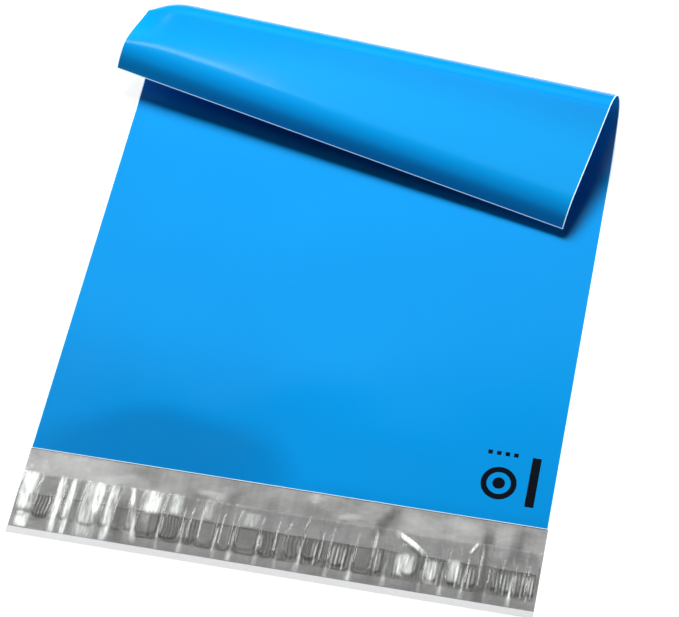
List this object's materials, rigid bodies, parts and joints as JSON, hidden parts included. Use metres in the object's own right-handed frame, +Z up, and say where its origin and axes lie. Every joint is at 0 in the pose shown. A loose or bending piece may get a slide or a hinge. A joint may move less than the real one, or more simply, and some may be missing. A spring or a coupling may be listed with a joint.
{
  "type": "poly mailer bag",
  "caption": "Flat film mailer bag with a peel-and-seal lip at the mouth, lying down with its closed end curled over the front.",
  "frame": {"origin": "underside of the back panel, at the middle of the mouth line", "axes": "+Y from the mouth towards the closed end, +X along the mouth to the right seen from the front panel, +Z up off the surface it lies on"},
  "size_m": [0.3195, 0.3676, 0.04],
  "materials": {
    "blue_film": "satin to glossy film, opaque blue outside and silver-grey inside",
    "hot_melt_glue": "clear glossy glue",
    "clear_liner": "clear glossy film"
  },
  "bodies": {
    "root": {"film_bag": "blue_film", "adhesive_strip": "hot_melt_glue", "release_liner": "clear_liner"}
  },
  "joints": []
}
